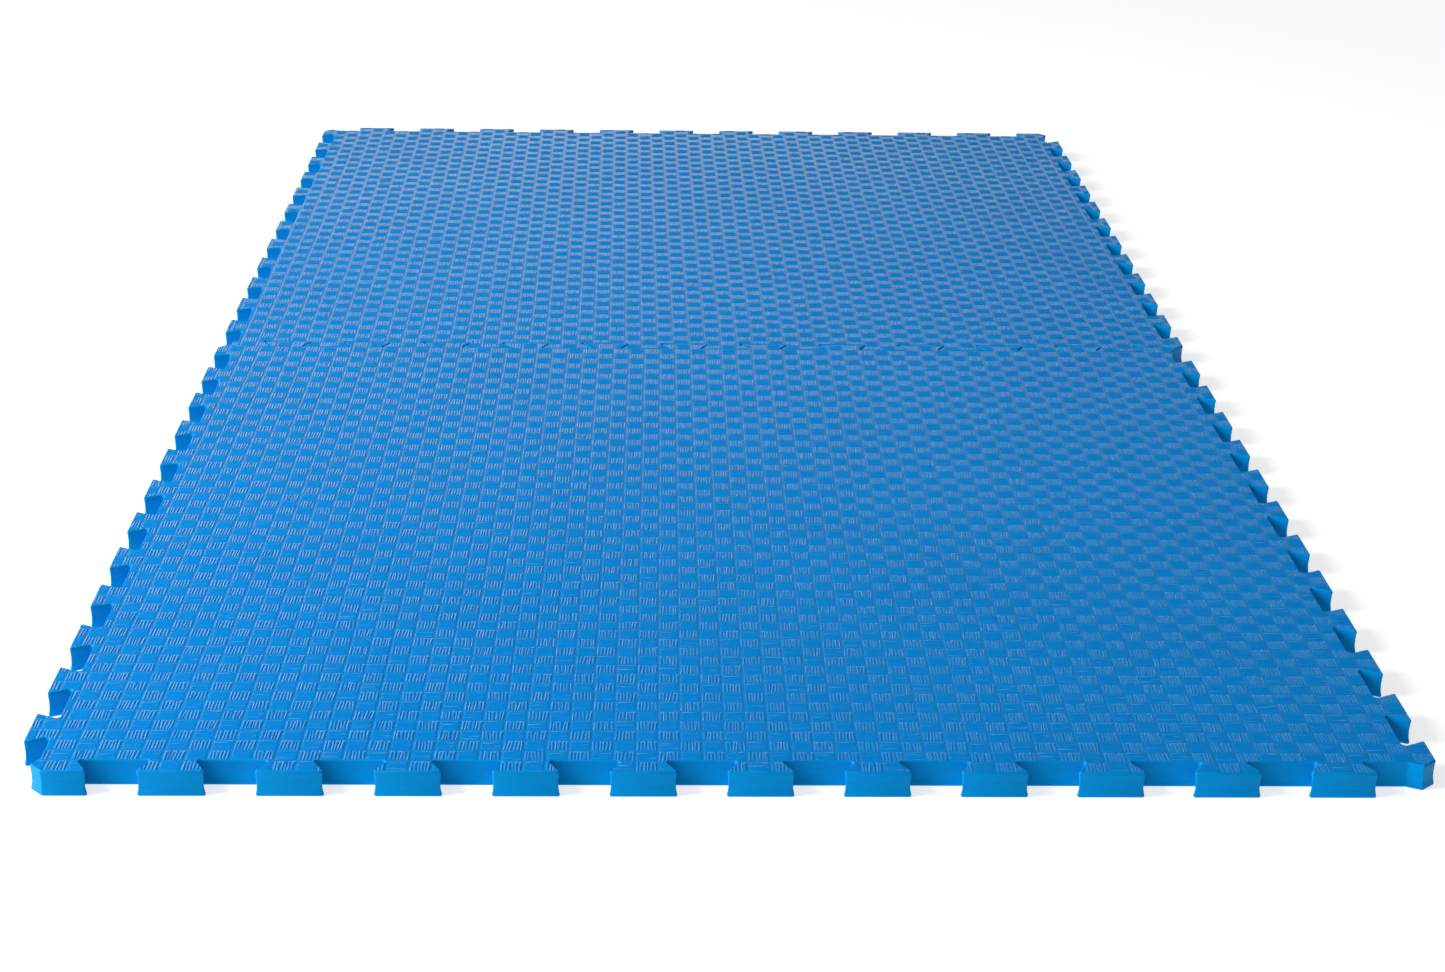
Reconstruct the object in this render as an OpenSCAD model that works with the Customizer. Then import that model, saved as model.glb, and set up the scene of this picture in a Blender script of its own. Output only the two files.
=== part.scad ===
// Two square interlocking foam mats, laid one behind the other and joined along one seam.
// Each mat is one sheet cut right through by a die. All four of its sides carry the same row of
// flared teeth, shifted by half a pitch at the mating side, so any side locks into any other.

/* [Mat] */
// Side of one square mat, between the nominal lines that run halfway up the teeth
mat_side = 1000; // [600:1:1400]
// Thickness of the foam sheet
mat_thickness = 20; // [8:0.5:40]

/* [Teeth] */
// Number of teeth on each side of a mat
teeth_per_side = 12; // [6:1:16]
// Depth of a tooth, from the bottom of a socket to the tip
tooth_depth = 18; // [12:0.5:26]
// How much wider than half the pitch a tooth is at its tip, and how much narrower at its root
tooth_flare = 9.7; // [3:0.1:12]
// Radius of the rounded corners, halfway between the tooth's corner and the socket's
corner_r = 2; // [1:0.25:3.5]
// Gap between the walls of two mats that are pressed together
fit_gap = 0.4; // [0.3:0.05:1]

/* [Corner teeth] */
// Start of a corner tooth's tip, from the nominal corner of the mat
corner_tip_start = 13; // [10:0.5:20]
// Distance of a corner tooth's nose behind the nominal line of the side
corner_nose_back = 2; // [1:0.25:4]

/* [Hidden] */

foam_blue = [0.02, 0.36, 0.75];

// Teeth and sockets share the pitch equally, or a mat would not fit its neighbour
tooth_pitch = mat_side / teeth_per_side;
tip_half_w = (tooth_pitch / 2 + tooth_flare) / 2;
root_half_w = (tooth_pitch / 2 - tooth_flare) / 2;
tip_line = tooth_depth / 2;
root_line = -tooth_depth / 2;
flank_lean = tooth_flare / tooth_depth;

// The foot of a corner tooth stands where the next mat's corner tooth starts its own tip, and
// its flank leans from there to the nose, which is cut off by a bevel up to the start of the tip
corner_nose_in = tooth_depth / 2 - flank_lean * (corner_tip_start - corner_nose_back);

// Number of straight steps in a quarter turn of a rounded corner
steps_per_quarter = 3;

// One side, as seen from outside the mat: x runs along the nominal line from the left-hand
// corner, y points outwards. It starts at the nose of the corner tooth and ends in the last
// socket, at the foot of the next side's corner tooth.
function tooth_centre(k) = (k + 1 / 4) * tooth_pitch;

function corner_tooth_points() = [
    [corner_nose_in, -corner_nose_back],
    [corner_tip_start, tip_line],
    [tooth_centre(0) + tip_half_w, tip_line],
    [tooth_centre(0) + root_half_w, root_line]
];

function tooth_points(k) = [
    [tooth_centre(k) - root_half_w, root_line],
    [tooth_centre(k) - tip_half_w, tip_line],
    [tooth_centre(k) + tip_half_w, tip_line],
    [tooth_centre(k) + root_half_w, root_line]
];

function side_points() = [
    each corner_tooth_points(),
    for (k = [1 : teeth_per_side - 1])
        each tooth_points(k),
    [mat_side - corner_tip_start, root_line]
];

// A side's points, placed on the front of a mat that is centred on the origin
function on_front(p) = [p[0] - mat_side / 2, -mat_side / 2 - p[1]];

function turned(p, quarters) = [
    p[0] * cos(90 * quarters) - p[1] * sin(90 * quarters),
    p[0] * sin(90 * quarters) + p[1] * cos(90 * quarters)
];

function sharp_outline() = [
    for (quarters = [0 : 3])
        for (p = side_points())
            turned(on_front(p), quarters)
];

// Outward normal of the edge from a to b, for an outline that runs anticlockwise
function edge_normal(a, b) = [b[1] - a[1], a[0] - b[0]] / norm(b - a);

// A corner moved inwards, so that both of its edges stand back by the same distance
function inset_corner(before, corner, after, distance) =
    let (n1 = edge_normal(before, corner), n2 = edge_normal(corner, after))
        corner - distance * (n1 + n2) / (1 + n1 * n2);

function inset_outline(points, distance) =
    let (count = len(points))
        [for (i = [0 : count - 1])
            inset_corner(points[(i + count - 1) % count], points[i], points[(i + 1) % count], distance)];

// A corner replaced by an arc that touches both of its edges
function rounded_corner(before, corner, after, convex_r, concave_r) =
    let (
        n1 = edge_normal(before, corner),
        n2 = edge_normal(corner, after),
        bend = atan2(n1[0] * n2[1] - n1[1] * n2[0], n1 * n2),
        r = bend > 0 ? convex_r : -concave_r,
        centre = corner - r * (n1 + n2) / (1 + n1 * n2),
        steps = max(2, ceil(abs(bend) / 90 * steps_per_quarter)),
        start = atan2(n1[1], n1[0])
    )
        [for (i = [0 : steps])
            centre + r * [cos(start + bend * i / steps), sin(start + bend * i / steps)]];

function rounded_outline(points, convex_r, concave_r) =
    let (count = len(points))
        [for (i = [0 : count - 1])
            each rounded_corner(points[(i + count - 1) % count], points[i],
                                points[(i + 1) % count], convex_r, concave_r)];

// Half of the fit gap is taken off each mat, all the way round
function mat_outline() =
    rounded_outline(inset_outline(sharp_outline(), fit_gap / 2),
                    corner_r - fit_gap / 2, corner_r + fit_gap / 2);

module mat() {
    linear_extrude(height = mat_thickness)
        polygon(mat_outline());
}

module front_mat() {
    color(foam_blue)
        translate([0, -mat_side / 2, 0])
            mat();
}

module rear_mat() {
    color(foam_blue)
        translate([0, mat_side / 2, 0])
            mat();
}

front_mat();
rear_mat();
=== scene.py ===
import math

import bpy
import numpy as np
from mathutils import Matrix, Vector


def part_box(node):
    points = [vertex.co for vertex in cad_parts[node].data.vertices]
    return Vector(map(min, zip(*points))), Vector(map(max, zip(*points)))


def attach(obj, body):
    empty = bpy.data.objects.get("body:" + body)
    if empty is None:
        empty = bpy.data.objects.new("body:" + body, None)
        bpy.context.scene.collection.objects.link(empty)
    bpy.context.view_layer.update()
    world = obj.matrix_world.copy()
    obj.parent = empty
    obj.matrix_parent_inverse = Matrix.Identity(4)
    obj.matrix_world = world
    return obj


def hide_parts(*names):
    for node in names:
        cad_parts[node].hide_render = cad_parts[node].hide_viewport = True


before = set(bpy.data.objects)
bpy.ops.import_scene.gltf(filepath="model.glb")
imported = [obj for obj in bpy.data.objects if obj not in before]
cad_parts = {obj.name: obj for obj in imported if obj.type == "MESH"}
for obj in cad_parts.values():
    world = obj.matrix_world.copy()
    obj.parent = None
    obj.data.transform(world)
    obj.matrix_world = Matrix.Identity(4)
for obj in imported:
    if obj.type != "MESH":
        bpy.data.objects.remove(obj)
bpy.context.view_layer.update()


# ---- Foam mats -------------------------------------------------------------------------------
# Each mat is one sheet of blue closed-cell EVA foam. A hot roller embosses its top with a basket
# weave, squares of six ribs turned by a quarter from one to the next. A steel-rule die then cuts
# the sheet and its teeth in one stroke, which leaves hollowed walls with a thin lip at the foot.

RIBS = 6                    # ribs in a square
MARGIN = 0.00110            # plain strip between the ribs of one square and the next
RIB_RISE = 0.00046          # ridge of a rib above the plain strip
RIB_END = 0.00090           # shortest slope at the end of a rib, and the longest is four times
FOOT_WANDER = 0.00042       # how far either end of a rib's foot strays sideways
RIDGE_WANDER = 0.09         # how far its ridge strays sideways, as a share of the rib's width
RIDGE_DIP = 0.00006         # how far its ridge dips
WEAVE_OVER = 0.0112         # weave beyond the outline, which the die cuts away
SLAB_FOOT = -0.005          # underside of the uncut slab, below the foot of the die
HAIR = 1e-5                 # a length that counts as none

# Wall of the cut, from the floor up: height, and how far it stands in from the CAD outline
WALL = (
    (0.0000, 0.00035), (0.0006, 0.00003), (0.0014, 0.00000), (0.0028, 0.00040),
    (0.0060, 0.00095), (0.0110, 0.00105), (0.0160, 0.00065), (0.0184, 0.00035),
    (0.0191, 0.00060), (0.0197, 0.00115), (0.0201, 0.00175),
)


def cut_outline(node):
    """The lower rim of a CAD mat, as points that run anticlockwise seen from above."""
    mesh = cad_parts[node].data
    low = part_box(node)[0].z
    step = {}
    for face in mesh.polygons:
        if abs(face.normal.z) > 0.5:
            continue
        corners = [mesh.vertices[i].co for i in face.vertices]
        for a, b in zip(corners, corners[1:] + corners[:1]):
            if max(a.z, b.z) < low + HAIR and (a - b).length > HAIR:
                step[round(a.x, 6), round(a.y, 6)] = (round(b.x, 6), round(b.y, 6))
    point = start = next(iter(step))
    rim = []
    while True:
        rim.append(point)
        point = step[point]
        if point == start:
            return np.array(rim)


def inward(rim):
    """For each rim point, the move that takes both of its edges in by one unit."""
    along = np.roll(rim, -1, 0) - rim
    along /= np.linalg.norm(along, axis=1)[:, None]
    out = np.stack([along[:, 1], -along[:, 0]], 1)
    before = np.roll(out, 1, 0)
    return -(before + out) / (1 + (before * out).sum(1))[:, None]


def cut_prism(rim):
    """What the die leaves standing: the outline carried up through the wall's shape."""
    count = len(rim)
    moves = inward(rim)
    points = np.concatenate([
        np.column_stack([rim + moves * inset, np.full(count, height)])
        for height, inset in WALL
    ])
    here = np.arange(count)
    after = np.roll(here, -1)
    walls = np.concatenate([
        np.stack([here, after, after + count, here + count], 1) + level * count
        for level in range(len(WALL) - 1)
    ])
    foot = list(range(count))[::-1]
    top = list(range(count * (len(WALL) - 1), count * len(WALL)))
    mesh = bpy.data.meshes.new("cut_prism")
    mesh.from_pydata(points.tolist(), [], walls.tolist() + [foot, top])
    return mesh


def woven_slab(low, high, square, turn, skew, shift, seed):
    """A slab whose top is the embossed weave, wider than the mat on every side."""
    rng = np.random.default_rng(seed)
    middle = (low + high) / 2
    reach = (high.x - low.x) / 2 + WEAVE_OVER
    nu, nv = (2 * math.ceil(reach / length) for length in square)
    square = np.array(square)
    upright = np.add.outer(np.arange(nu), np.arange(nv)) % 2 == 0
    wide = np.where(upright, *(square - MARGIN))[..., None]
    long = np.where(upright, *(square - MARGIN)[::-1])[..., None]

    # The ribs of every square: their feet at the near and far ends, then the ends of their ridges
    def wander(size, count):
        return rng.normal(0, size, (nu, nv, count)).clip(-2 * size, 2 * size)

    def ends(count):
        return RIB_END * (1 + 3 * rng.random((nu, nv, count)))

    loose = np.r_[0, np.ones(RIBS - 1), 0]      # the outermost feet stay on the square's edge
    foot = np.arange(RIBS + 1) / RIBS - 0.5
    feet = [foot * wide + wander(FOOT_WANDER, RIBS + 1) * loose for _ in range(2)]
    ridges = [
        at[..., :-1] + np.diff(at, axis=2) * (0.5 + wander(RIDGE_WANDER, RIBS)) for at in feet
    ]
    across = np.concatenate([*feet, *ridges], 2)
    foot_along = np.broadcast_to(long / 2, (nu, nv, RIBS + 1))
    along = np.concatenate(
        [-foot_along, foot_along, ends(RIBS) - long / 2, long / 2 - ends(RIBS)], 2
    )
    up = np.concatenate([
        np.full((nu, nv, 2 * RIBS + 2), high.z - RIB_RISE),
        high.z - np.abs(wander(RIDGE_DIP, 2 * RIBS)),
    ], 2)
    points = np.stack([
        np.where(upright[..., None], across, along)
        + (np.arange(nu)[:, None, None] + 0.5 - nu / 2) * square[0],
        np.where(upright[..., None], along, across)
        + (np.arange(nv)[None, :, None] + 0.5 - nv / 2) * square[1],
        up,
    ], 3)
    index = np.arange(points.size // 3).reshape(nu, nv, -1)
    points = points.reshape(-1, 3)
    near, far = index[..., :RIBS + 1], index[..., RIBS + 1:2 * RIBS + 2]
    start, stop = index[..., 2 * RIBS + 2:3 * RIBS + 2], index[..., 3 * RIBS + 2:]

    faces = []
    for i in range(nu):
        for j in range(nv):
            n, f, s, e = (group[i, j].tolist() for group in (near, far, start, stop))
            slopes = []
            for k in range(RIBS):
                slopes += [
                    [n[k], n[k + 1], s[k]], [f[k + 1], f[k], e[k]],
                    [n[k], s[k], e[k], f[k]], [s[k], n[k + 1], f[k + 1], e[k]],
                ]
            faces += slopes if upright[i, j] else [slope[::-1] for slope in slopes]

    # The plain strips between squares, and the small patches where four squares meet
    def side(i, j, which):
        n, f = near[i, j].tolist(), far[i, j].tolist()
        if upright[i, j]:
            return {"left": [n[0], f[0]], "right": [n[-1], f[-1]], "near": n, "far": f}[which]
        return {"left": n, "right": f, "near": [n[0], f[0]], "far": [n[-1], f[-1]]}[which]

    for i in range(nu):
        for j in range(nv):
            if i + 1 < nu:
                faces.append(side(i, j, "right")[::-1] + side(i + 1, j, "left"))
            if j + 1 < nv:
                faces.append(side(i, j, "far") + side(i, j + 1, "near")[::-1])
            if i + 1 < nu and j + 1 < nv:
                faces.append([
                    side(i, j, "far")[-1], side(i + 1, j, "far")[0],
                    side(i + 1, j + 1, "near")[0], side(i, j + 1, "near")[-1],
                ])

    # The slab's sides and underside
    border = []
    for i in range(nu):
        border += side(i, 0, "near")
    for j in range(nv):
        border += side(nu - 1, j, "right")
    for i in reversed(range(nu)):
        border += side(i, nv - 1, "far")[::-1]
    for j in reversed(range(nv)):
        border += side(0, j, "left")[::-1]
    border = [p for p, q in zip(border, border[1:] + border[:1]) if p != q]
    below = points[border].copy()
    below[:, 2] = SLAB_FOOT
    under = (len(points) + np.arange(len(border))).tolist()
    points = np.concatenate([points, below])
    faces += [
        list(four) for four in zip(border, under, under[1:] + under[:1], border[1:] + border[:1])
    ]
    faces.append(under[::-1])

    cos, sin = math.cos(turn), math.sin(turn)
    u, v = points[:, 0] + shift[0], points[:, 1] + shift[1]
    points[:, 0] = middle.x + u * cos - v * sin - v * skew
    points[:, 1] = middle.y + u * sin + v * cos
    mesh = bpy.data.meshes.new("woven_slab")
    mesh.from_pydata(points.tolist(), [], faces)
    return mesh


class Channel:
    """One output of a node, so that sums on it read as plain arithmetic."""

    def __init__(self, recipe, socket):
        self.recipe = recipe
        self.socket = socket

    def sum(self, operation, a, b):
        return self.recipe.node("ShaderNodeMath", {"operation": operation}, {0: a, 1: b})

    def __add__(self, other):
        return self.sum("ADD", self, other)

    def __radd__(self, other):
        return self.sum("ADD", other, self)

    def __sub__(self, other):
        return self.sum("SUBTRACT", self, other)

    def __rsub__(self, other):
        return self.sum("SUBTRACT", other, self)

    def __mul__(self, other):
        return self.sum("MULTIPLY", self, other)

    def __rmul__(self, other):
        return self.sum("MULTIPLY", other, self)


class Recipe:
    """The nodes of one finish or of the room, which end in its shader."""

    def __init__(self, owner, shader):
        owner.use_nodes = True
        self.owner = owner
        self.shader = owner.node_tree.nodes[shader]

    def fill(self, node, sockets):
        for key, value in sockets.items():
            if isinstance(value, Channel):
                self.owner.node_tree.links.new(value.socket, node.inputs[key])
            else:
                node.inputs[key].default_value = value

    def node(self, kind, settings, sockets, out=0):
        made = self.owner.node_tree.nodes.new(kind)
        for key, value in settings.items():
            if key == "stops":
                self.space_out(made.color_ramp.elements, value)
            else:
                setattr(made, key, value)
        self.fill(made, sockets)
        return Channel(self, made.outputs[out])

    def space_out(self, stops, greys):
        """Place a ramp's stops, each by its position and its shade of grey."""
        for _ in greys[len(stops):]:
            stops.new(1.0)
        for stop, (position, grey) in zip(stops, greys):
            stop.position = position
            stop.color = (grey, grey, grey, 1)

    def mixed(self, share, a, b):
        """Colour a where share is 0, colour b where it is 1."""
        return self.node("ShaderNodeMix", {"data_type": "RGBA"}, {0: share, 6: a, 7: b}, out=2)

    def finish(self, sockets):
        self.fill(self.shader, sockets)
        return self.owner


SKIN_BLUES = (0.0, 0.195, 0.56, 1), (0.0, 0.225, 0.62, 1)
WALL_BLUES = (0.0, 0.185, 0.51, 1), (0.0, 0.255, 0.61, 1)
UNDERSIDE_BLUE = (0.0, 0.19, 0.56, 1)
BLUE_SHEEN = (0.0, 0.45, 1.0, 1)

skin = Recipe(bpy.data.materials.new("embossed_foam_skin"), "Principled BSDF")
place = skin.node("ShaderNodeTexCoord", {}, {}, out="Object")
cloud = skin.node("ShaderNodeTexNoise", {}, {"Vector": place, "Scale": 6.0, "Detail": 3.0})
haze = skin.node("ShaderNodeTexNoise", {}, {"Vector": place, "Scale": 2.3, "Detail": 2.0})
fleck = skin.node("ShaderNodeTexNoise", {}, {"Vector": place, "Scale": 900.0, "Detail": 4.0})
grain = skin.node("ShaderNodeBump", {}, {"Strength": 0.08, "Distance": 0.0002, "Height": fleck})
skin.finish({
    "Base Color": skin.mixed(cloud, *SKIN_BLUES),
    "Roughness": 0.05 + 0.18 * haze + 0.12 * fleck,
    "Specular IOR Level": 0.25,
    "Specular Tint": BLUE_SHEEN,
    "Normal": grain,
})

wall = Recipe(bpy.data.materials.new("cut_foam_wall"), "Principled BSDF")
place = wall.node("ShaderNodeTexCoord", {}, {}, out="Object")
streak = wall.node("ShaderNodeMapping", {}, {"Vector": place, "Scale": (60.0, 60.0, 1500.0)})
drag = wall.node("ShaderNodeTexNoise", {}, {"Vector": streak, "Scale": 1.0, "Detail": 4.0})
lines = wall.node("ShaderNodeBump", {}, {"Strength": 0.35, "Distance": 0.0003, "Height": drag})
wall.finish({
    "Base Color": wall.mixed(drag, *WALL_BLUES),
    "Roughness": 0.6,
    "Specular Tint": BLUE_SHEEN,
    "Normal": lines,
})

under = Recipe(bpy.data.materials.new("foam_underside"), "Principled BSDF")
place = under.node("ShaderNodeTexCoord", {}, {}, out="Object")
cell = under.node("ShaderNodeTexVoronoi", {}, {"Vector": place, "Scale": 500.0})
pores = under.node("ShaderNodeBump", {}, {"Strength": 0.4, "Distance": 0.0003, "Height": cell})
under.finish({"Base Color": UNDERSIDE_BLUE, "Roughness": 0.65, "Normal": pores})

# Places of the cut wall and the underside in each mesh's list of materials, after the skin
WALL_SLOT, UNDER_SLOT = 1, 2

# The weave of each mat: size of a square, its small turn, lean and shift on the sheet, and a seed
for node, square, turn, skew, shift, seed in (
    ("front_mat", (0.01603, 0.01691), -0.0016, -0.0033, (-0.0017, -0.0021), 11),
    ("rear_mat", (0.01679, 0.01581), -0.0052, 0.0115, (-0.0030, -0.0068), 12),
):
    low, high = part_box(node)
    prism = cut_prism(cut_outline(node))
    slab = woven_slab(low, high, square, turn, skew, shift, seed)
    for mesh in (prism, slab):
        for recipe in (skin, wall, under):
            mesh.materials.append(recipe.owner)
    kinds = np.full(len(prism.polygons), WALL_SLOT, np.int32)
    kinds[-2] = UNDER_SLOT      # the foot comes just before the top
    prism.polygons.foreach_set("material_index", kinds)
    sheet = bpy.data.objects.new("foam_slab", slab)
    die = bpy.data.objects.new("foam_die", prism)
    for piece in (sheet, die):
        bpy.context.scene.collection.objects.link(piece)
    cut = sheet.modifiers.new("cut", "BOOLEAN")
    cut.operation = "INTERSECT"
    cut.solver = "MANIFOLD"
    cut.object = die
    depsgraph = bpy.context.evaluated_depsgraph_get()
    done = bpy.data.meshes.new_from_object(sheet.evaluated_get(depsgraph))
    kinds = np.zeros(len(done.polygons), np.int32)
    done.polygons.foreach_get("material_index", kinds)
    done.polygons.foreach_set("use_smooth", kinds == WALL_SLOT)
    mat = bpy.data.objects.new(node + "_foam", done)
    bpy.context.scene.collection.objects.link(mat)
    for piece in (sheet, die):
        bpy.data.objects.remove(piece)
    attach(mat, node)
    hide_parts(node)


# ---- Floor -----------------------------------------------------------------------------------
# A plain pale studio floor of smooth paper, rolled out far past every view and lit from behind,
# so that it stays close to white right to its edges.

FLOOR_HALF = 40.0           # half of its side
FLOOR_DROP = 0.0002         # how far it lies below the foam, so that the two don't share a plane
GLOW = 0.72                 # light that comes through the paper

floor_mesh = bpy.data.meshes.new("floor")
floor_mesh.from_pydata(
    [(x * FLOOR_HALF, y * FLOOR_HALF, 0) for x, y in ((-1, -1), (1, -1), (1, 1), (-1, 1))],
    [], [(0, 1, 2, 3)],
)
floor = bpy.data.objects.new("floor", floor_mesh)
floor.location.z = -FLOOR_DROP
bpy.context.scene.collection.objects.link(floor)
pale = Recipe(bpy.data.materials.new("pale_floor"), "Principled BSDF")
floor_mesh.materials.append(pale.finish({
    "Base Color": (0.5, 0.5, 0.5, 1), "Roughness": 0.9, "Specular IOR Level": 0.0,
    "Emission Color": (1, 1, 1, 1), "Emission Strength": GLOW,
}))


# ---- Light -----------------------------------------------------------------------------------
# Soft white studio light: pale walls all round under a dim ceiling, and a large soft box up on
# the left, which is turned towards the mats.

# Brightness of the walls and ceiling, by the height of the direction looked in
ROOM = (
    (0.00, 0.60), (0.09, 0.75), (0.15, 1.45), (0.19, 1.35), (0.23, 0.90), (0.27, 0.42),
    (0.32, 0.16), (0.38, 0.05), (0.50, 0.04), (1.00, 0.41),
)
LEFT_BRIGHTER = 1.2         # how much brighter the left-hand wall is than the middle
BOX_SIDE = 1.6              # metres
BOX_POWER = 190.0           # watts
BOX_PLACE = (-3.0, -1.3, 2.0)
BOX_AIM = (0.0, -0.2, 0.0)

studio = Recipe(bpy.data.worlds.new("studio"), "Background")
bpy.context.scene.world = studio.owner
way = studio.node("ShaderNodeTexCoord", {}, {}, out="Generated")
rise = studio.node("ShaderNodeSeparateXYZ", {}, {0: way}, out="Z")
room = studio.node("ShaderNodeValToRGB", {"stops": ROOM}, {0: rise})
right = studio.node("ShaderNodeSeparateXYZ", {}, {0: way}, out="X")
studio.finish({"Color": studio.node(
    "ShaderNodeVectorMath", {"operation": "SCALE"}, {0: room, "Scale": 1 - LEFT_BRIGHTER * right}
)})

box_light = bpy.data.lights.new("soft_box", "AREA")
box_light.shape = "SQUARE"
box_light.size = BOX_SIDE
box_light.energy = BOX_POWER
soft_box = bpy.data.objects.new("soft_box", box_light)
soft_box.location = BOX_PLACE
aim = Vector(BOX_AIM) - soft_box.location
soft_box.rotation_euler = aim.to_track_quat("-Z", "Y").to_euler()
bpy.context.scene.collection.objects.link(soft_box)
bpy.context.scene.view_settings.view_transform = "Standard"


# ---- Camera ----------------------------------------------------------------------------------
# At waist height, under two metres back from the near edge of the front mat, looking down by
# twenty degrees through a short telephoto lens.

SENSOR_WIDTH = 36.0
FOCAL_LENGTH = 68.3255
CAMERA_PLACE = (-0.06274, -2.75875, 0.88191)
PAN = -0.0303               # radians, like the next two: turned right of straight ahead
LOOK_DOWN = 0.3537          # below the horizon
ROLL = 0.0154               # about the line of sight

camera_data = bpy.data.cameras.new("camera")
camera_data.sensor_width = SENSOR_WIDTH
camera_data.lens = FOCAL_LENGTH
camera = bpy.data.objects.new("camera", camera_data)
camera.matrix_world = (
    Matrix.Translation(CAMERA_PLACE)
    @ Matrix.Rotation(PAN, 4, "Z")
    @ Matrix.Rotation(math.pi / 2 - LOOK_DOWN, 4, "X")
    @ Matrix.Rotation(ROLL, 4, "Z")
)
bpy.context.scene.collection.objects.link(camera)
bpy.context.scene.camera = camera
